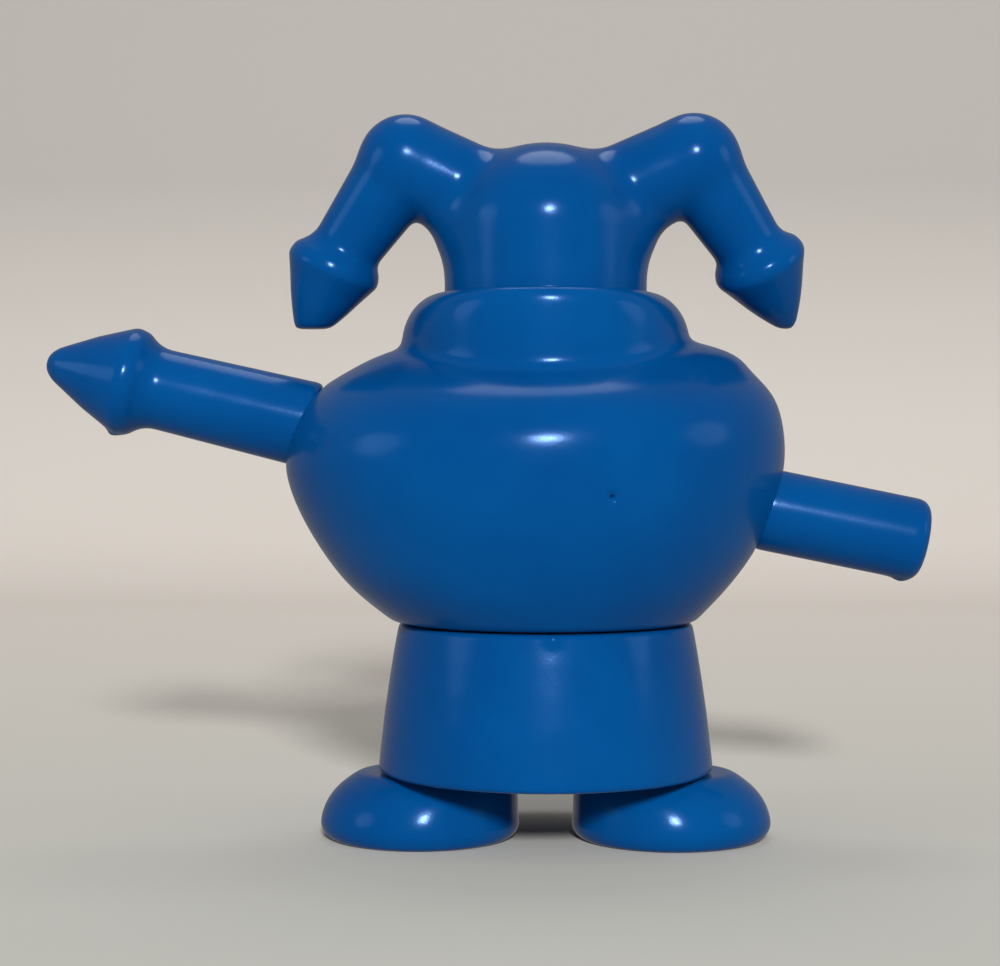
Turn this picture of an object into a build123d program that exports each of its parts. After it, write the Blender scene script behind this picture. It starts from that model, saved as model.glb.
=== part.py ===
from build123d import *
import os

# Faceless vinyl art toy: a stout figure in a two-horned jester's cap, cast as seven hollow
# soft-vinyl shells that snap into each other and swivel.
# Frame: millimetres, +Z up, +X to the right of a viewer who stands on the -Y side. The
# origin is on the floor, under the middle of the whole width and depth. Every casting is
# designed round the figure's own vertical axis, on which the waist and the neck swivel, and
# is moved into the frame at the end.

os.makedirs("parts", exist_ok=True)

# ---- driving dimensions -------------------------------------------------------------------

WALL = 2.5  # thickness of every cast shell
AXIS_X = 9.92  # the figure's axis stands this far right of the middle of its width

# snap plugs: a hollow neck through a plate of WALL thickness, with a retaining lip behind it
SEAM_GAP = 0.3  # end gap between two castings, on both sides of the plate
PLUG_CLEARANCE = 0.1  # radial play of a neck in its hole
SEAT_CLEARANCE = 0.25  # radial play of an arm or the head in its seat
LIP_OVERHANG = 1.1
LIP_HEIGHT = 2.2
WAIST_HOLE_R = 16.2
NECK_HOLE_R = 12.2
ARM_HOLE_R = 4.8
ANKLE_HOLE_R = 7.2
ARM_BORE_R = ARM_HOLE_R - PLUG_CLEARANCE - WALL / 2

# skirt
HEM_Z = 11.3
HEM_R = 27.6
WAIST_Z = 36.2
SKIRT_TOP_R = 24.0
SKIRT_BULGE = 0.4
HEM_EDGE_R = 0.5

# torso sections: height, reach to the left, reach to the right, half depth
TORSO_SECTIONS = [
    (WAIST_Z, 24.2, 24.2, 24.2),
    (40.8, 29.9, 28.3, 27.4),
    (47.5, 36.0, 33.6, 31.0),
    (55.5, 40.8, 37.6, 33.9),
    (63.5, 42.9, 39.4, 35.0),
    (69.5, 41.4, 38.9, 33.7),
    (74.3, 37.6, 36.7, 29.2),
    (78.0, 31.6, 33.2, 22.8),
    (81.2, 24.2, 28.6, 15.5),
    (83.2, 17.5, 22.0, 8.0),
]

# collar
COLLAR_R = 23.9
COLLAR_SHOULDER_Z = 82.0
COLLAR_TOP_Z = 90.6
COLLAR_FOOT_Z = 74.0
CUP_FLOOR_Z = 84.5

# head: a cap with an elliptical dome
HEAD_R = 16.8
DOME_Z = 101.5
DOME_TOP_Z = 115.5
DIAGONAL = 0.7071  # the dome's outline passes through its ellipse's 45 degree point

# horn sections: X, Y, Z of the centre, X, Y, Z of the direction, radius
LEFT_HORN = [
    ((-7.6, 0.0, 105.4), (-0.93, 0.0, 0.37), 7.6),
    ((-15.0, 0.0, 108.4), (-0.93, 0.0, 0.37), 8.3),
    ((-24.5, 0.0, 110.8), (-0.97, 0.0, -0.25), 8.9),
    ((-28.2, 0.1, 106.3), (-0.70, 0.03, -0.71), 6.7),
    ((-32.9, 0.5, 99.5), (-0.53, 0.07, -0.85), 5.5),
    ((-35.0, 0.8, 95.8), (-0.40, 0.11, -0.91), 5.2),
]
RIGHT_HORN = [
    ((7.6, 0.0, 105.4), (0.93, 0.0, 0.37), 7.6),
    ((15.5, 0.0, 108.2), (0.93, 0.0, 0.34), 8.3),
    ((26.6, 0.0, 110.6), (0.95, 0.0, -0.32), 8.9),
    ((29.9, 0.3, 106.3), (0.66, 0.10, -0.75), 6.7),
    ((33.9, 1.2, 99.2), (0.49, 0.25, -0.84), 5.6),
    ((35.6, 2.0, 95.8), (0.44, 0.31, -0.84), 5.2),
]

# horn cones: centre of the ridge, direction
LEFT_CONE = ((-35.2, 0.8, 95.2), (-0.41, 0.12, -0.90))
RIGHT_CONE = ((35.75, 2.0, 95.5), (0.43, 0.33, -0.84))
# their outline: radius, height above the ridge, fillet
HORN_CONE_OUTLINE = [
    (0.0, 12.8, 0),
    (1.3, 12.8, 1.2),
    (8.2, 0.0, 1.1),
    (7.5, -1.5, 1.0),
    (4.9, -4.6, 0),
    (0.0, -4.6, 0),
]

# arms: each seat is a flat floor sunk in the torso's side, square to the arm's own axis
POINTED_SEAT = ((-38.4, 0.0, 68.5), (-0.972, 0.0, 0.233))
POINTED_ARM_R = 7.25
BLUNT_SEAT = ((34.3, 0.0, 55.2), (0.98, 0.0, -0.2))
BLUNT_ARM_R = 6.85
SEAT_APPROACH = 12.0  # length along which a seat is cut free from its floor outwards
# their outsides, from tip to torso: radius, distance from the seat's floor, fillet
POINTED_ARM_OUTSIDE = [
    (0.0, 46.4, 0),
    (2.4, 46.4, 2.7),
    (9.1, 32.3, 1.3),
    (8.5, 30.7, 1.2),
    (6.7, 28.3, 3.0),
    (POINTED_ARM_R, SEAM_GAP, 0),
]
BLUNT_ARM_OUTSIDE = [
    (0.0, 29.6, 0),
    (BLUNT_ARM_R, 29.1, 2.4),
    (BLUNT_ARM_R, SEAM_GAP, 0),
]
# their hollows, from torso to tip: radius, distance from the seat's floor, fillet
POINTED_ARM_INSIDE = [
    (ARM_BORE_R, WALL, 0),
    (POINTED_ARM_R - WALL, WALL, 0),
    (4.2, 32.3, 0),
    (0.0, 38.6, 0),
]
BLUNT_ARM_INSIDE = [
    (ARM_BORE_R, WALL, 0),
    (BLUNT_ARM_R - WALL, WALL, 0),
    (BLUNT_ARM_R - WALL, 27.1, 0),
    (0.0, 27.1, 0),
]

# left foot sections: height, outer reach, inner reach, half depth
FOOT_SECTIONS = [
    (0.0, 35.0, 6.4, 13.6),
    (1.2, 36.6, 5.0, 15.0),
    (3.6, 37.1, 4.6, 15.5),
    (6.2, 36.2, 4.6, 15.2),
    (8.8, 33.9, 4.9, 14.0),
    (11.0, 29.4, 5.8, 11.6),
]
FOOT_TOP_Z = HEM_Z - SEAM_GAP
ANKLE_X = 15.5
ANKLE_BORE_R = 4.6

PLATE = SEAM_GAP + WALL + SEAM_GAP  # neck length from one casting's face to its lip


def unit(direction):
    return Vector(*direction).normalized()


def axial_plane(origin, direction):
    """Sketch plane with local Y along the direction, so that local X is the radius."""
    along = unit(direction)
    radial = along.cross(Vector(0, 0, 1)).normalized()
    return Plane(origin=origin, x_dir=radial, z_dir=radial.cross(along))


def plug_outline(hole_radius, bore_radius, face):
    """Half outline of a snap plug that rises from its casting's face, ending at its bore."""
    neck = hole_radius - PLUG_CLEARANCE
    lip = hole_radius + LIP_OVERHANG
    behind = face + PLATE
    return [
        (neck, face),
        (neck, behind),
        (lip, behind),
        (lip, behind + LIP_HEIGHT / 2),
        (neck, behind + LIP_HEIGHT),
        (bore_radius, behind + LIP_HEIGHT),
    ]


def mirrored_heights(points, height):
    """The same outline turned upside down about a height."""
    return [(radius, 2 * height - level) for radius, level in points]


def turned(origin, direction, outline):
    """Solid turned about a slanting axis; the outline is rows of radius, reach, fillet."""
    with BuildPart() as form:
        with BuildSketch(axial_plane(origin, direction)):
            with BuildLine():
                FilletPolyline(
                    [(radius, reach) for radius, reach, rounding in outline],
                    radius=[rounding for radius, reach, rounding in outline],
                    close=True,
                )
            make_face()
        revolve(axis=Axis(origin, direction))
    return form.part


# ---- skirt: a flared tub with a closed floor and the waist plug on top ----------------------

skirt_top = WAIST_Z - SEAM_GAP
waist_bore = WAIST_HOLE_R - WALL
with BuildPart() as skirt:
    with BuildSketch(Plane.XZ):
        with BuildLine():
            Line((0, HEM_Z), (HEM_R, HEM_Z))
            SagittaArc((HEM_R, HEM_Z), (SKIRT_TOP_R, skirt_top), -SKIRT_BULGE)
            plug = plug_outline(WAIST_HOLE_R, waist_bore, skirt_top)
            Polyline((SKIRT_TOP_R, skirt_top), *plug, (waist_bore, skirt_top - WALL))
            Line((waist_bore, skirt_top - WALL), (SKIRT_TOP_R - WALL, skirt_top - WALL))
            SagittaArc(
                (SKIRT_TOP_R - WALL, skirt_top - WALL),
                (HEM_R - WALL, HEM_Z + WALL),
                SKIRT_BULGE,
            )
            Polyline((HEM_R - WALL, HEM_Z + WALL), (0, HEM_Z + WALL), (0, HEM_Z))
        make_face()
    revolve(axis=Axis.Z)
    rims = skirt.edges().filter_by(GeomType.CIRCLE).filter_by(lambda e: e.radius > HEM_R - WALL)
    fillet(rims.group_by(Axis.Z)[0], HEM_EDGE_R)
    with Locations((-ANKLE_X, 0, HEM_Z + WALL), (ANKLE_X, 0, HEM_Z + WALL)):
        Hole(ANKLE_HOLE_R, depth=WALL)
skirt.part.label = "skirt"


# ---- feet: two pebble-shaped castings, mirror images, plugged up into the skirt's floor ------


def foot_form(inset, lowest, highest):
    """The left foot's outside, shrunk by inset and cut off at two heights."""
    bottom = FOOT_SECTIONS[0][0]
    span = FOOT_SECTIONS[-1][0] - bottom
    with BuildPart() as form:
        for height, outer, inner, depth in FOOT_SECTIONS:
            level = lowest + (height - bottom) * (highest - lowest) / span
            with BuildSketch(Plane.XY.offset(level)):
                with Locations((-(outer + inner) / 2, 0)):
                    Ellipse((outer - inner) / 2 - inset, depth - inset)
        loft()
    return form.part


with BuildPart() as left_foot:
    add(foot_form(0, 0, FOOT_TOP_Z))
    add(foot_form(WALL, WALL, FOOT_TOP_Z - WALL), mode=Mode.SUBTRACT)
    with BuildSketch(Plane.XZ.move(Location((-ANKLE_X, 0, 0)))):
        with BuildLine():
            plug = plug_outline(ANKLE_HOLE_R, ANKLE_BORE_R, FOOT_TOP_Z)
            root = FOOT_TOP_Z - WALL / 2
            Polyline(
                (ANKLE_BORE_R, root), (plug[0][0], root), *plug, (ANKLE_BORE_R, root)
            )
        make_face()
    revolve(axis=Axis((-ANKLE_X, 0, 0), (0, 0, 1)))
    with Locations((-ANKLE_X, 0, FOOT_TOP_Z)):
        Hole(ANKLE_BORE_R, depth=2 * WALL)
left_foot.part.label = "left_foot"

with BuildPart() as right_foot:
    mirror(left_foot.part, about=Plane.YZ)
right_foot.part.label = "right_foot"


# ---- torso: a pumpkin-shaped shell with the rolled collar moulded on --------------------------


def torso_form(inset):
    """The torso's outside below the collar, shrunk by inset."""
    top = TORSO_SECTIONS[-1][0]
    shrink = (top - WAIST_Z - 2 * inset) / (top - WAIST_Z)
    with BuildPart() as form:
        for height, left, right, depth in TORSO_SECTIONS:
            level = WAIST_Z + inset + (height - WAIST_Z) * shrink
            with BuildSketch(Plane.XY.offset(level)):
                with Locations(((right - left) / 2, 0)):
                    Ellipse((left + right) / 2 - inset, depth - inset)
        loft()
    return form.part


arm_seats = [(POINTED_SEAT, POINTED_ARM_R), (BLUNT_SEAT, BLUNT_ARM_R)]

with BuildPart() as torso_cavity:
    add(torso_form(WALL))
    # room below the collar's floor for the head's plug
    with BuildSketch(Plane.XY.offset(COLLAR_FOOT_Z - WALL)):
        Circle(COLLAR_R - WALL)
    extrude(amount=CUP_FLOOR_Z - COLLAR_FOOT_Z)
    # thick bosses around the arm seats
    for (origin, direction), radius in arm_seats:
        with BuildSketch(Plane(origin=origin, z_dir=direction).offset(-WALL)):
            Circle(radius + SEAT_CLEARANCE + WALL)
        extrude(amount=SEAT_APPROACH, mode=Mode.SUBTRACT)
        with BuildSketch(Plane(origin=origin, z_dir=direction).offset(-WALL)):
            Circle(ARM_HOLE_R + LIP_OVERHANG + SEAM_GAP)
        extrude(amount=-PLATE - LIP_HEIGHT)

with BuildPart() as torso:
    add(torso_form(0))
    with BuildSketch(Plane.XZ):
        with BuildLine():
            Polyline((0, COLLAR_FOOT_Z), (COLLAR_R, COLLAR_FOOT_Z), (COLLAR_R, COLLAR_SHOULDER_Z))
            EllipticalCenterArc(
                (HEAD_R, COLLAR_SHOULDER_Z),
                x_radius=COLLAR_R - HEAD_R,
                y_radius=COLLAR_TOP_Z - COLLAR_SHOULDER_Z,
                arc_size=90,
            )
            Polyline((HEAD_R, COLLAR_TOP_Z), (0, COLLAR_TOP_Z), (0, COLLAR_FOOT_Z))
        make_face()
    revolve(axis=Axis.Z)
    add(torso_cavity.part, mode=Mode.SUBTRACT)
    with Locations((0, 0, COLLAR_TOP_Z)):
        CounterBoreHole(
            radius=NECK_HOLE_R,
            counter_bore_radius=HEAD_R + SEAT_CLEARANCE,
            counter_bore_depth=COLLAR_TOP_Z - CUP_FLOOR_Z,
            depth=COLLAR_TOP_Z - CUP_FLOOR_Z + WALL,
        )
    with Locations((0, 0, WAIST_Z + WALL)):
        Hole(WAIST_HOLE_R, depth=WALL)
    for (origin, direction), radius in arm_seats:
        mouth = Plane(origin=origin, z_dir=direction).offset(SEAT_APPROACH)
        with Locations(mouth):
            CounterBoreHole(
                radius=ARM_HOLE_R,
                counter_bore_radius=radius + SEAT_CLEARANCE,
                counter_bore_depth=SEAT_APPROACH,
                depth=SEAT_APPROACH + 2 * WALL,
            )
torso.part.label = "torso"


# ---- arms: turned about their own axes, with the plug at the torso end -----------------------


def arm_casting(seat, outside, inside):
    """Hollow arm on its seat, with its plug between the outside and the hollow."""
    plug = mirrored_heights(plug_outline(ARM_HOLE_R, ARM_BORE_R, -SEAM_GAP), 0)
    return turned(*seat, outside + [(*point, 0) for point in plug] + inside)


with BuildPart() as pointed_arm:
    add(arm_casting(POINTED_SEAT, POINTED_ARM_OUTSIDE, POINTED_ARM_INSIDE))
pointed_arm.part.label = "pointed_arm"

with BuildPart() as blunt_arm:
    add(arm_casting(BLUNT_SEAT, BLUNT_ARM_OUTSIDE, BLUNT_ARM_INSIDE))
blunt_arm.part.label = "blunt_arm"


# ---- head: a domed cap with two drooping, cone-ended horns ------------------------------------

head_bottom = CUP_FLOOR_Z + SEAM_GAP


def head_form(inset):
    """The cap and its horns, shrunk by inset."""
    dome_height = DOME_TOP_Z - DOME_Z - inset
    with BuildPart() as form:
        with BuildSketch(Plane.YZ):
            with BuildLine():
                Polyline((0, DOME_Z), (0, head_bottom + inset), (HEAD_R - inset, head_bottom + inset))
                Line((HEAD_R - inset, head_bottom + inset), (HEAD_R - inset, DOME_Z))
                Spline(
                    (HEAD_R - inset, DOME_Z),
                    ((HEAD_R - inset) * DIAGONAL, DOME_Z + dome_height * DIAGONAL),
                    (0, DOME_Z + dome_height),
                    tangents=[(0, 1), (-1, 0)],
                )
                Line((0, DOME_Z + dome_height), (0, DOME_Z))
            make_face()
        revolve(axis=Axis.Z)
        for stations in (LEFT_HORN, RIGHT_HORN):
            for centre, direction, radius in stations:
                with BuildSketch(Plane(origin=centre, x_dir=(0, 1, 0), z_dir=direction)):
                    Circle(radius - inset)
            loft()
    return form.part


with BuildPart() as head:
    add(head_form(0))
    for centre, direction in (LEFT_CONE, RIGHT_CONE):
        add(turned(centre, direction, HORN_CONE_OUTLINE))
    add(head_form(WALL), mode=Mode.SUBTRACT)
    with BuildSketch(Plane.YZ):
        with BuildLine():
            neck_bore = NECK_HOLE_R - WALL
            root = head_bottom + WALL / 2
            plug = mirrored_heights(
                plug_outline(NECK_HOLE_R, neck_bore, head_bottom), head_bottom
            )
            Polyline((neck_bore, root), (plug[0][0], root), *plug, (neck_bore, root))
        make_face()
    revolve(axis=Axis.Z)
    with Locations((0, 0, head_bottom + WALL)):
        Hole(neck_bore, depth=WALL)
head.part.label = "head"


# ---- the castings in the shared frame ----------------------------------------------------------

for casting in (skirt, left_foot, right_foot, torso, pointed_arm, blunt_arm, head):
    with BuildPart() as placed:
        with Locations((AXIS_X, 0, 0)):
            add(casting.part)
    placed.part.label = casting.part.label
    export_step(placed.part, f"parts/{placed.part.label}.step")
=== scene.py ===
import math

import bmesh
import bpy
import numpy as np
import openvdb
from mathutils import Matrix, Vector


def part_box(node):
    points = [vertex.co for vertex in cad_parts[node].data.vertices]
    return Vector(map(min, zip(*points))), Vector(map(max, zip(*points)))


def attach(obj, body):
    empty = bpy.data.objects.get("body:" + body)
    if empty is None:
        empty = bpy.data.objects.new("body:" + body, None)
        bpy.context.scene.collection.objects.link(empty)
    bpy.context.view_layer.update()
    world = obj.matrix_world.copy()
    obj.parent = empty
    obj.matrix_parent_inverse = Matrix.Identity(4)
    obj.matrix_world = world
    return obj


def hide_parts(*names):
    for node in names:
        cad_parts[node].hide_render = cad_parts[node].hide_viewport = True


# Looks of the faceless vinyl art toy. Every casting is carved as a distance field (negative
# inside) in millimetres from the figure's own axis, softened as moulded vinyl is, and turned
# into a mesh that replaces its plain CAD shell.

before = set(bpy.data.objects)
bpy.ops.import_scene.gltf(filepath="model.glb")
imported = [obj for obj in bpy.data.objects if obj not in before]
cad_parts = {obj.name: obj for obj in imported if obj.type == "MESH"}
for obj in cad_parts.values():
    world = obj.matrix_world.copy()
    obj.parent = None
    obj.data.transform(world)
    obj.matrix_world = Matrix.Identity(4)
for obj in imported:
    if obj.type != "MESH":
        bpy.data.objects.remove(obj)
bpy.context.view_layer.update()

MM = 0.001
AXIS_X = 9.92  # the figure's own vertical axis in the shared frame
VOXEL = 0.4  # spacing of the carving grid
MARGIN = 4  # empty grid cells round a casting
BAND = 3 * VOXEL  # reach of the distance field on either side of a surface
BLUR_PASSES = 2
PROBE_STEP = 0.05  # how far apart a field is sampled to find its slope
LEAST_SLOPE = 0.2  # keeps a flat field from being scaled without limit

# heights, radii and gaps shared by neighbouring castings, in millimetres
HEM_Z = 11.3
WAIST_Z = 36.2
CUP_FLOOR_Z = 84.5
SEAM_GAP = 0.3
FOOT_TOP_Z = HEM_Z - SEAM_GAP
HEAD_R = 16.8
SEAT_PLAY = 0.15


# ---- distance fields ----------------------------------------------------------------------


def unit(direction):
    """The direction as a vector of length 1."""
    return np.array(direction, float) / np.linalg.norm(direction)


def spline(knots, values):
    """Natural cubic spline through the knots, as a function."""
    step = np.diff(knots)
    rise = np.diff(values) / step
    size = len(knots)
    system = np.eye(size)
    right = np.zeros(size)
    for i in range(1, size - 1):
        system[i, i - 1 : i + 2] = step[i - 1], 2 * (step[i - 1] + step[i]), step[i]
        right[i] = 6 * (rise[i] - rise[i - 1])
    bend = np.linalg.solve(system, right)

    def curve(mark):
        mark = np.clip(mark, knots[0], knots[-1])
        i = np.clip(np.searchsorted(knots, mark) - 1, 0, size - 2)
        along = mark - knots[i]
        slope = rise[i] - step[i] * (2 * bend[i] + bend[i + 1]) / 6
        curl = (bend[i + 1] - bend[i]) / (6 * step[i])
        return values[i] + along * (slope + along * (bend[i] / 2 + along * curl))

    return curve


def smooth_union(a, b, radius):
    """Union of two fields with a soft fillet."""
    blend = np.maximum(radius - np.abs(a - b), 0) / radius
    return np.minimum(a, b) - blend * blend * radius / 4


def smooth_cut(a, b, radius):
    """What is inside both fields, with a softly rounded edge."""
    return -smooth_union(-a, -b, radius)


def true_distance(level):
    """Scales a field so that it grows by about 1 mm per mm near its surface."""

    def distance(x, y, z):
        here = level(x, y, z)
        slope = (level(x + PROBE_STEP, y, z) - here) ** 2
        slope = slope + (level(x, y + PROBE_STEP, z) - here) ** 2
        slope = slope + (level(x, y, z + PROBE_STEP) - here) ** 2
        return here / np.maximum(np.sqrt(slope) / PROBE_STEP, LEAST_SLOPE)

    return distance


def stack(stations):
    """Body with smooth oval sections: rows of height, left reach, right reach, half depth."""
    heights, *sides = np.array(stations, float).T
    left, right, depth = (spline(heights, side) for side in sides)

    def level(x, y, z):
        half = (left(z) + right(z)) / 2
        middle = (right(z) - left(z)) / 2
        return (np.hypot((x - middle) / half, y / depth(z)) - 1) * half

    return true_distance(level)


def outline_distance(px, py, corners):
    """Signed distance to an outline whose two ends lie on the axis px = 0."""
    nearest = np.inf
    inside = False
    for (ax, ay), (bx, by) in zip(corners, corners[1:]):
        ex, ey = bx - ax, by - ay
        wx, wy = px - ax, py - ay
        along = np.clip((wx * ex + wy * ey) / (ex * ex + ey * ey), 0, 1)
        nearest = np.minimum(nearest, (wx - ex * along) ** 2 + (wy - ey * along) ** 2)
        if ey != 0:
            crossed = (ay <= py) != (by <= py)
            inside = inside ^ (crossed & (wx < wy * ex / ey))
    return np.where(inside, -1.0, 1.0) * np.sqrt(nearest)


def turned(origin, direction, outline, rounding=0.0):
    """Solid turned about an axis: (radius, reach) corners up one side, grown by a rounding."""
    along = unit(direction)

    def distance(x, y, z):
        dx, dy, dz = x - origin[0], y - origin[1], z - origin[2]
        reach = dx * along[0] + dy * along[1] + dz * along[2]
        radius = np.sqrt(np.maximum(dx * dx + dy * dy + dz * dz - reach * reach, 0))
        return outline_distance(radius, reach, outline) - rounding

    return distance


def tube(start, end):
    """Round bar with domed ends that tapers from one x, y, z, radius to another."""
    (ax, ay, az, ar), (bx, by, bz, br) = start, end
    ex, ey, ez = bx - ax, by - ay, bz - az

    def distance(x, y, z):
        wx, wy, wz = x - ax, y - ay, z - az
        along = np.clip((wx * ex + wy * ey + wz * ez) / (ex * ex + ey * ey + ez * ez), 0, 1)
        gap = (wx - ex * along) ** 2 + (wy - ey * along) ** 2 + (wz - ez * along) ** 2
        return np.sqrt(gap) - ar - (br - ar) * along

    return distance


def blob(centre, size):
    """Small ellipsoid."""

    def level(x, y, z):
        parts = [(p - c) / s for p, c, s in zip((x, y, z), centre, size)]
        return (np.sqrt(sum(part * part for part in parts)) - 1) * min(size)

    return level


def softened(field):
    """One pass of a small blur along each grid axis, which eases edges as moulding does."""
    for axis in range(3):
        ahead = np.roll(field, 1, axis)
        behind = np.roll(field, -1, axis)
        field = (ahead + 2 * field + behind) / 4
    return field


def carve(node, form):
    """Meshes a casting's field over its CAD node's box; the mesh replaces the node."""
    low, high = (np.array(corner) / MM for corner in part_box(node))
    start = low - MARGIN * VOXEL
    cells = np.ceil((high - low) / VOXEL).astype(int) + 2 * MARGIN
    x, y, z = np.ix_(*(start[i] + VOXEL * np.arange(cells[i]) for i in range(3)))
    field = form(x - AXIS_X, y, z)
    for _ in range(BLUR_PASSES):
        field = softened(field)
    grid = openvdb.FloatGrid(background=BAND)
    grid.copyFromArray(np.clip(field, -BAND, BAND).astype(np.float32))
    points, quads = grid.convertToQuads()
    points = (points * VOXEL + start) * MM
    mesh = bpy.data.meshes.new(node + "_skin")
    mesh.from_pydata(points.tolist(), [], quads.tolist())
    shell = bmesh.new()
    shell.from_mesh(mesh)
    bmesh.ops.recalc_face_normals(shell, faces=shell.faces)
    shell.to_mesh(mesh)
    shell.free()
    mesh.shade_smooth()
    piece = bpy.data.objects.new(node + "_skin", mesh)
    bpy.context.scene.collection.objects.link(piece)
    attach(piece, node)
    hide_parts(node)
    return piece


# ---- castings -------------------------------------------------------------------------------

# All in millimetres. Outlines are (radius, reach) corners, and fillets and edges are radii. A
# station is a section's height, left reach, right reach and half depth. A seat is the start and
# the direction of an axis. A nub is a small ellipsoid, with its half sizes.

UP = (0, 0, 1)
FLOOR = (0, 0, 0)

SKIRT_EDGE = 0.3
SKIRT_PROFILE = [(27.85, HEM_Z), (27.55, 14.6), (26.8, 21.0), (26.05, 26.2), (25.25, 31.2),
                 (24.45, WAIST_Z - SEAM_GAP)]
WAIST_NUB = ((1.2, -24.7, WAIST_Z - 1.1), (0.9, 0.6, 0.7))
WAIST_NUB_FILLET = 0.4

TORSO_STATIONS = [
    (WAIST_Z, 25.4, 24.9, 24.9),
    (40.8, 31.2, 29.3, 28.2),
    (47.5, 36.9, 34.4, 31.4),
    (55.5, 41.4, 38.1, 34.1),
    (63.5, 43.2, 39.6, 35.0),
    (69.5, 41.5, 39.1, 33.7),
    (74.3, 37.9, 37.1, 29.3),
    (78.0, 32.2, 33.8, 23.0),
    (81.2, 24.9, 29.2, 15.6),
    (83.2, 17.5, 22.0, 8.0),
]
COLLAR_R = 23.9
COLLAR_SHOULDER_Z = 82.0
COLLAR_TOP_Z = 90.6
COLLAR_ROOT_Z = 62.0
COLLAR_SIDE_POWER = 2  # a round roll at the sides
COLLAR_FRONT_POWER = 8  # a squarer one in front
COLLAR_FILLET = 1.6
WAIST_EDGE = 0.7
SEAT_DEPTH = 20  # long enough to clear the torso's side
SEAT_EDGE = 0.5
CUP_EDGE = 0.8
CUP_TOP_Z = 100  # well above the collar
PINHOLE = (10.1, 57.7)  # across and up, on the chest
PINHOLE_SIZE = (0.5, 0.65)
PINHOLE_Y = (-34, -30.5)  # from clear of the chest to the hole's floor

POINTED_SEAT = ((-38.4, 0.0, 68.5), (-0.972, 0.0, 0.233))
POINTED_ARM_R = 7.25
POINTED_ARM_END_R = 6.7
POINTED_ARM_EDGE = 0.4
POINTED_ARM_START = 0.7
POINTED_RIDGE = 32.3
CONE_OVERLAP = 2.3  # how far the bar ends short of the cone's ridge
ARM_CONE_ROUNDING = 1.1
ARM_CONE_FILLET = 2.0
POINTED_NUB_PLACE = (POINTED_RIDGE + 0.4, 9.0)  # along the arm, and below its axis
POINTED_NUB_SIZE = (1.1, 0.9, 0.55)
ARM_NUB_FILLET = 0.6
ARM_CONE_PROFILE = [(0.0, -3.4), (5.7, -3.2), (7.7, -1.4), (8.0, 0.0), (5.25, 5.8), (1.9, 11.7),
                    (1.0, 12.6), (0.0, 12.9)]
BLUNT_SEAT = ((34.3, 0.0, 55.2), (0.98, 0.0, -0.2))
BLUNT_ARM_R = 6.85
BLUNT_ARM_EDGE = 2.2
BLUNT_ARM_START = 0.3
BLUNT_LENGTH = 29.6
BLUNT_DOME = 0.4
BLUNT_NUB_PLACE = (BLUNT_LENGTH - 3.0, BLUNT_ARM_R)
BLUNT_NUB_SIZE = (1.1, 0.9, 0.6)

# horn joints: x, y, z, radius at the cap, at the elbow and at the cone
LEFT_HORN = [(-7.6, 0.0, 104.7, 8.3), (-23.2, -1.6, 112.2, 7.8), (-35.0, 0.8, 95.8, 5.5)]
RIGHT_HORN = [(7.6, 0.0, 104.7, 8.3), (24.4, -1.6, 112.3, 7.8), (35.7, 2.0, 95.8, 5.5)]
ELBOW_TAPER = 0.5
ELBOW_FILLET = 1.2
LEFT_CONE = ((-35.4, 0.8, 94.9), (-0.40, 0.12, -0.91))
RIGHT_CONE = ((35.75, 2.0, 95.5), (0.43, 0.33, -0.84))
LEFT_CONE_STRETCH = 1.08
RIGHT_CONE_STRETCH = 1.0
HORN_CONE_ROUNDING = 1.0
HORN_CONE_FILLET = 1.4
HORN_CONE_PROFILE = [(0.0, -3.0), (4.4, -3.0), (6.6, -1.2), (6.95, 0.0), (5.7, 2.4), (4.2, 5.5),
                     (3.05, 7.6), (1.95, 9.4), (0.9, 11.0), (0.0, 11.8)]
DOME_Z = 101.5
DOME_TOP_Z = 115.5
CREASE_HEIGHTS = [98.0, 106.5]  # the fillet between horn and cap narrows upwards
CREASE_FILLETS = [7.0, 2.4]
NECK_EDGE = 0.6

SOLE_EDGE = 0.5
ANKLE_EDGE = 0.6
FOOT_STATIONS = [
    (0.0, 35.9, -5.8, 15.3),
    (1.2, 37.1, -4.7, 16.0),
    (3.6, 37.4, -4.5, 16.2),
    (6.2, 36.4, -4.6, 15.5),
    (8.8, 34.2, -4.9, 14.1),
    (FOOT_TOP_Z, 31.2, -5.8, 11.8),
]


def under_arm(seat, reach, below):
    """Point under an arm: so far along its axis and so far below it."""
    origin, direction = seat
    out = unit(direction)
    down = np.array((-out[2], 0, out[0])) * math.copysign(1, -out[0])
    return np.array(origin) + out * reach + down * below


def skirt_form(x, y, z):
    """Flared skirt with the mould's nub at the waist."""
    edge = SKIRT_EDGE
    low, high = HEM_Z + edge, WAIST_Z - SEAM_GAP - edge
    side = [(radius - edge, min(max(reach, low), high)) for radius, reach in SKIRT_PROFILE]
    body = turned(FLOOR, UP, [(0, low)] + side + [(0, high)], edge)(x, y, z)
    return smooth_union(body, blob(*WAIST_NUB)(x, y, z), WAIST_NUB_FILLET)


def collar_level(x, y, z):
    """Collar: fully rolled at the sides, with an upright face and a small edge in front."""
    radius = np.hypot(x, y)
    front = (y / np.maximum(radius, 1)) ** 2
    squareness = COLLAR_FRONT_POWER - COLLAR_SIDE_POWER
    power = COLLAR_SIDE_POWER + squareness * front * front
    wide = np.maximum(radius - HEAD_R, 0) / (COLLAR_R - HEAD_R)
    high = np.maximum(z - COLLAR_SHOULDER_Z, 0) / (COLLAR_TOP_Z - COLLAR_SHOULDER_Z)
    roll = ((wide**power + high**power) ** (1 / power) - 1) * (COLLAR_R - HEAD_R)
    return np.maximum(roll, COLLAR_ROOT_Z - z)


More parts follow.
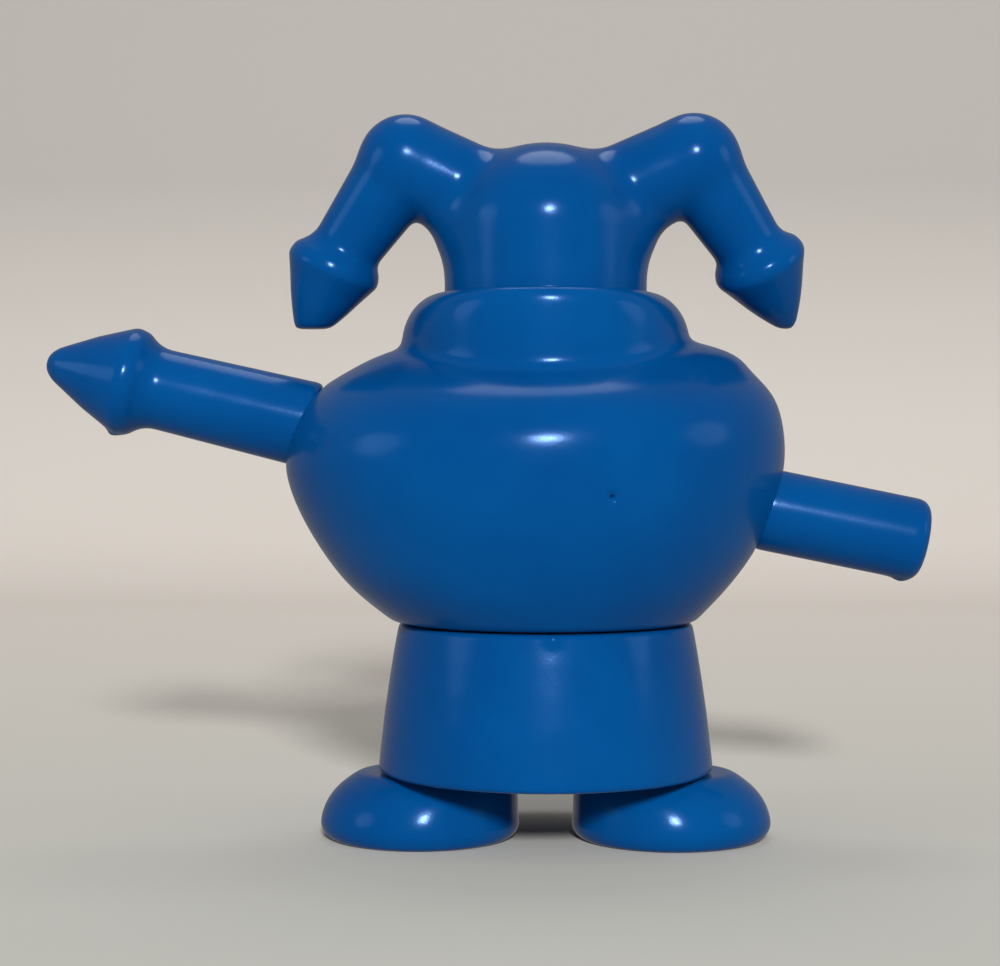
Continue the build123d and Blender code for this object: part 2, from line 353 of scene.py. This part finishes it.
def hollow(low, high, bore):
    """Outline of a round hole from one reach to another."""
    return [(0, low), (bore, low), (bore, high), (0, high)]


def torso_form(x, y, z):
    """Wide body and rolled collar, with the arms' seats, the head's cup and the pinhole."""
    body = smooth_cut(stack(TORSO_STATIONS)(x, y, z), WAIST_Z - z, WAIST_EDGE)
    body = np.maximum(body, z - TORSO_STATIONS[-1][0])
    body = smooth_union(body, true_distance(collar_level)(x, y, z), COLLAR_FILLET)
    for seat, radius in ((POINTED_SEAT, POINTED_ARM_R), (BLUNT_SEAT, BLUNT_ARM_R)):
        hole = turned(*seat, hollow(0, SEAT_DEPTH, radius + SEAT_PLAY))
        body = smooth_cut(body, -hole(x, y, z), SEAT_EDGE)
    cup = turned(FLOOR, UP, hollow(CUP_FLOOR_Z, CUP_TOP_Z, HEAD_R + SEAT_PLAY))
    body = smooth_cut(body, -cup(x, y, z), CUP_EDGE)
    (hole_x, hole_z), (wide, high), (front, back) = PINHOLE, PINHOLE_SIZE, PINHOLE_Y
    across = np.hypot((x - hole_x) / wide, (z - hole_z) / high) - 1
    pinhole = np.maximum(across / 2, np.maximum(y - back, front - y))
    return np.maximum(body, -pinhole)


def pointed_arm_form(x, y, z):
    """Slightly tapered bar with a spear-shaped end and the mould's nub under it."""
    edge = POINTED_ARM_EDGE
    bar = turned(*POINTED_SEAT, [
        (0, POINTED_ARM_START),
        (POINTED_ARM_R - edge, POINTED_ARM_START),
        (POINTED_ARM_END_R - edge, POINTED_RIDGE - CONE_OVERLAP),
        (0, POINTED_RIDGE - CONE_OVERLAP),
    ], edge)
    profile = [(radius, POINTED_RIDGE + reach) for radius, reach in ARM_CONE_PROFILE]
    cone = turned(*POINTED_SEAT, profile, ARM_CONE_ROUNDING)
    body = smooth_union(bar(x, y, z), cone(x, y, z), ARM_CONE_FILLET)
    nub = blob(under_arm(POINTED_SEAT, *POINTED_NUB_PLACE), POINTED_NUB_SIZE)
    return smooth_union(body, nub(x, y, z), ARM_NUB_FILLET)


def blunt_arm_form(x, y, z):
    """Plain bar with a flat-domed end and the mould's nub under it."""
    edge = BLUNT_ARM_EDGE
    radius = BLUNT_ARM_R - edge
    body = turned(*BLUNT_SEAT, [
        (0, BLUNT_ARM_START + edge),
        (radius, BLUNT_ARM_START + edge),
        (radius, BLUNT_LENGTH - BLUNT_DOME - edge),
        (0, BLUNT_LENGTH - edge),
    ], edge)(x, y, z)
    nub = blob(under_arm(BLUNT_SEAT, *BLUNT_NUB_PLACE), BLUNT_NUB_SIZE)
    return smooth_union(body, nub(x, y, z), ARM_NUB_FILLET)


def horn(joints, cone, stretch, x, y, z):
    """Bent horn with its cone, whose length is stretched a little."""
    root, elbow, tip = joints
    profile = [(radius, reach * stretch) for radius, reach in HORN_CONE_PROFILE]
    knee = (*elbow[:3], elbow[3] - ELBOW_TAPER)
    body = smooth_union(tube(root, elbow)(x, y, z), tube(knee, tip)(x, y, z), ELBOW_FILLET)
    end = turned(*cone, profile, HORN_CONE_ROUNDING)
    return smooth_union(body, end(x, y, z), HORN_CONE_FILLET)


def head_form(x, y, z):
    """Domed cap with its two horns, cut off level above the cup's floor."""

    def cap(x, y, z):
        rise = np.maximum(z - DOME_Z, 0) / (DOME_TOP_Z - DOME_Z)
        return (np.sqrt((x * x + y * y) / HEAD_R**2 + rise * rise) - 1) * HEAD_R

    body = true_distance(cap)(x, y, z)
    left = horn(LEFT_HORN, LEFT_CONE, LEFT_CONE_STRETCH, x, y, z)
    right = horn(RIGHT_HORN, RIGHT_CONE, RIGHT_CONE_STRETCH, x, y, z)
    crease = np.interp(z, CREASE_HEIGHTS, CREASE_FILLETS)
    body = smooth_union(body, np.minimum(left, right), crease)
    return smooth_cut(body, CUP_FLOOR_Z + SEAM_GAP - z, NECK_EDGE)


def foot_form(side):
    """Foot on the left (1) or on the right (-1)."""
    pebble = stack(FOOT_STATIONS)

    def form(x, y, z):
        body = smooth_cut(pebble(side * x, y, z), -z, SOLE_EDGE)
        return smooth_cut(body, z - FOOT_TOP_Z, ANKLE_EDGE)

    return form


# ---- material -------------------------------------------------------------------------------

DARK_BLUE = (0.0, 0.050, 0.195, 1)
LIGHT_BLUE = (0.0, 0.061, 0.225, 1)
LOW_ROUGHNESS = 0.15
HIGH_ROUGHNESS = 0.21
# noise cells per metre
TINT_SCALE = 38.0
GLOSS_SCALE = 120.0
GRAIN_SCALE = 2200.0
GRAIN_STRENGTH = 0.15
GRAIN_HEIGHT = 0.00005  # in metres


def grey(value):
    """The same value in every colour channel."""
    return (value, value, value, 1)


def vinyl():
    """Self-coloured soft vinyl: a glossy skin with faint changes of tint, gloss and texture."""
    material = bpy.data.materials.new("blue_vinyl")
    material.use_nodes = True
    tree = material.node_tree
    nodes, link = tree.nodes, tree.links.new
    shader = nodes["Principled BSDF"]
    shader.inputs["IOR"].default_value = 1.3
    shader.inputs["Specular Tint"].default_value = (0.3, 0.5, 1.0, 1)
    shader.inputs["Subsurface Weight"].default_value = 0.05
    shader.inputs["Subsurface Radius"].default_value = (0.2, 0.5, 1.0)
    shader.inputs["Subsurface Scale"].default_value = 0.001

    place = nodes.new("ShaderNodeTexCoord").outputs["Object"]

    def noise(scale, detail):
        texture = nodes.new("ShaderNodeTexNoise")
        texture.inputs["Scale"].default_value = scale
        texture.inputs["Detail"].default_value = detail
        link(place, texture.inputs["Vector"])
        return texture.outputs["Fac"]

    def ramp(value, *stops):
        node = nodes.new("ShaderNodeValToRGB")
        for element, (position, colour) in zip(node.color_ramp.elements, stops):
            element.position = position
            element.color = colour
        link(value, node.inputs["Fac"])
        return node.outputs["Color"]

    tint = ramp(noise(TINT_SCALE, 3.0), (0.35, DARK_BLUE), (0.65, LIGHT_BLUE))
    link(tint, shader.inputs["Base Color"])
    gloss = noise(GLOSS_SCALE, 4.0)
    roughness = ramp(gloss, (0.3, grey(LOW_ROUGHNESS)), (0.7, grey(HIGH_ROUGHNESS)))
    link(roughness, shader.inputs["Roughness"])
    bump = nodes.new("ShaderNodeBump")
    bump.inputs["Strength"].default_value = GRAIN_STRENGTH
    bump.inputs["Distance"].default_value = GRAIN_HEIGHT
    link(noise(GRAIN_SCALE, 2.0), bump.inputs["Height"])
    link(bump.outputs["Normal"], shader.inputs["Normal"])
    return material


# ---- build ----------------------------------------------------------------------------------

blue = vinyl()
for node, form in (
    ("skirt", skirt_form),
    ("torso", torso_form),
    ("pointed_arm", pointed_arm_form),
    ("blunt_arm", blunt_arm_form),
    ("head", head_form),
    ("left_foot", foot_form(1)),
    ("right_foot", foot_form(-1)),
):
    piece = carve(node, form)
    piece.data.materials.append(blue)


# ---- set ------------------------------------------------------------------------------------

# the paper sweep, in metres
PAPER_FRONT_Y = -0.9
PAPER_BACK_Y = 0.5
PAPER_CURVE_R = 0.35
PAPER_CURVE_STEPS = 16
PAPER_TOP_Z = 1.4
PAPER_HALF_WIDTH = 1.6

# Painted light and shade on the paper, as colours that are multiplied: axis, the range over
# which they change, and the colours at its two ends. The paper is painted a little warmer and
# paler at the back, as painted light, and greyer higher up, as painted shade.
PAPER_PAINTED_LIGHT_AND_SHADE = (
    ("Y", -0.08, 0.45, (0.525, 0.52, 0.48, 1), (0.72, 0.67, 0.62, 1)),
    ("Z", 0.02, 0.20, (1.0, 1.0, 1.0, 1), (0.62, 0.63, 0.64, 1)),
)

CHEST = (AXIS_X, 0, 60)  # what the lamps point at
# name, place and size in millimetres, power in watts, colour
LAMPS = (
    ("key", (AXIS_X + 172, -2154, 936), 330, 62.0, (1.0, 1.0, 1.0)),
    ("left_fill", (-900, -350, 350), 400, 1.0, (0.85, 0.97, 1.0)),
    ("right_fill", (950, -220, 350), 400, 0.7, (0.9, 0.97, 1.0)),
    ("top", (AXIS_X, 420, 1150), 600, 2.4, (0.97, 0.99, 1.0)),
)
ROOM_COLOUR = (1.0, 0.96, 0.92, 1)
ROOM_STRENGTH = 0.26

# camera: millimetres and degrees
CAMERA_PLACE = (AXIS_X, -375, 67.7)
CAMERA_LENS = 81.0
CAMERA_SENSOR = 36.0
CAMERA_PITCH = 90 - 1.32
CAMERA_YAW = 1.16


def paper_material():
    """Matt paper with painted light and shade: its colour changes slowly with depth and height.
    """
    material = bpy.data.materials.new("paper")
    material.use_nodes = True
    nodes, link = material.node_tree.nodes, material.node_tree.links.new
    shader = nodes["Principled BSDF"]
    shader.inputs["Roughness"].default_value = 0.8
    shader.inputs["Specular IOR Level"].default_value = 0.0
    place = nodes.new("ShaderNodeSeparateXYZ")
    link(nodes.new("ShaderNodeTexCoord").outputs["Object"], place.inputs["Vector"])
    # painted light and shade: the paper is painted paler towards the back and darker higher up
    painted_shadings = []
    for axis, start, end, first, last in PAPER_PAINTED_LIGHT_AND_SHADE:
        reach = nodes.new("ShaderNodeMapRange")
        reach.inputs["From Min"].default_value = start
        reach.inputs["From Max"].default_value = end
        link(place.outputs[axis], reach.inputs["Value"])
        painted_shading = nodes.new("ShaderNodeMixRGB")
        painted_shading.inputs["Color1"].default_value = first
        painted_shading.inputs["Color2"].default_value = last
        link(reach.outputs["Result"], painted_shading.inputs["Fac"])
        painted_shadings.append(painted_shading.outputs["Color"])
    blend = nodes.new("ShaderNodeMixRGB")
    blend.blend_type = "MULTIPLY"
    blend.inputs["Fac"].default_value = 1.0
    link(painted_shadings[0], blend.inputs["Color1"])
    link(painted_shadings[1], blend.inputs["Color2"])
    link(blend.outputs["Color"], shader.inputs["Base Color"])
    return material


def sweep():
    """Seamless paper: a flat floor that curves up into a backdrop behind the toy."""
    profile = [(PAPER_FRONT_Y, 0.0), (PAPER_BACK_Y, 0.0)]
    for step in range(1, PAPER_CURVE_STEPS + 1):
        angle = math.radians(90 * step / PAPER_CURVE_STEPS)
        y = PAPER_BACK_Y + PAPER_CURVE_R * math.sin(angle)
        profile.append((y, PAPER_CURVE_R * (1 - math.cos(angle))))
    profile.append((PAPER_BACK_Y + PAPER_CURVE_R, PAPER_TOP_Z))
    sides = (-PAPER_HALF_WIDTH, PAPER_HALF_WIDTH)
    points = [(x, y, z) for y, z in profile for x in sides]
    faces = [(i, i + 1, i + 3, i + 2) for i in range(0, len(points) - 2, 2)]
    mesh = bpy.data.meshes.new("paper")
    mesh.from_pydata(points, [], faces)
    mesh.shade_smooth()
    paper = bpy.data.objects.new("paper", mesh)
    bpy.context.scene.collection.objects.link(paper)
    paper.data.materials.append(paper_material())
    paper.visible_glossy = False  # the vinyl mirrors the dim room instead of the paper


def lamp(name, place, size, power, colour):
    """Round area lamp aimed at the chest."""
    data = bpy.data.lights.new(name, "AREA")
    data.shape = "DISK"
    data.size = size * MM
    data.energy = power
    data.color = colour
    light = bpy.data.objects.new(name, data)
    light.location = Vector(place) * MM
    light.rotation_euler = (Vector(CHEST) - Vector(place)).to_track_quat("-Z", "Y").to_euler()
    bpy.context.scene.collection.objects.link(light)


def room():
    """Dim, slightly warm light from all round."""
    world = bpy.data.worlds.new("room")
    world.use_nodes = True
    background = world.node_tree.nodes["Background"]
    background.inputs["Color"].default_value = ROOM_COLOUR
    background.inputs["Strength"].default_value = ROOM_STRENGTH
    bpy.context.scene.world = world


def camera():
    """Long lens level with the toy's chest, square to its front."""
    data = bpy.data.cameras.new("camera")
    data.lens = CAMERA_LENS
    data.sensor_width = CAMERA_SENSOR
    data.clip_start = 0.01
    view = bpy.data.objects.new("camera", data)
    view.location = Vector(CAMERA_PLACE) * MM
    view.rotation_euler = (math.radians(CAMERA_PITCH), 0, math.radians(CAMERA_YAW))
    bpy.context.scene.collection.objects.link(view)
    bpy.context.scene.camera = view


sweep()
for row in LAMPS:
    lamp(*row)
room()
bpy.context.scene.view_settings.view_transform = "Standard"
camera()
